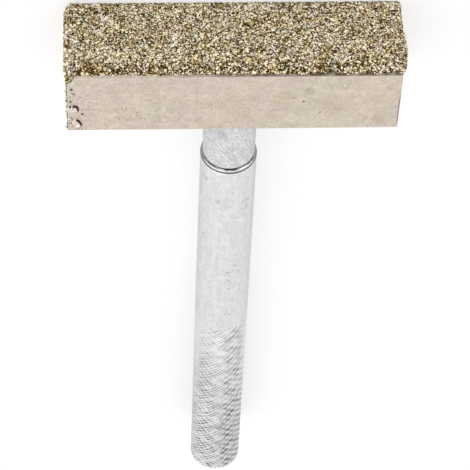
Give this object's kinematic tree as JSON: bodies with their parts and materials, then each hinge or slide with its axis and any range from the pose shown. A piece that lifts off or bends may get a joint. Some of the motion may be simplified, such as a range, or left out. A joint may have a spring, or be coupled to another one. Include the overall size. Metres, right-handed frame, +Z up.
{
  "type": "diamond wheel dresser",
  "caption": "T-shaped hand dresser: square bar head with a diamond grit face, on a round steel handle with a diamond-knurled grip, for truing and cleaning grinding wheels.",
  "frame": {"origin": "under the middle of the tool's length, on the surface that it lies on", "axes": "+Y towards the diamond face, along the handle; +Z up, out of the head bar's front face; +X along the head bar"},
  "size_m": [0.0458, 0.108, 0.012],
  "materials": {
    "nickel_plate": "satin warm nickel plate",
    "diamond_grit": "rough glinting grit",
    "handle_steel": "satin steel"
  },
  "bodies": {
    "root": {"head_bar": "nickel_plate", "diamond_layer": "diamond_grit", "handle": "handle_steel"}
  },
  "joints": []
}
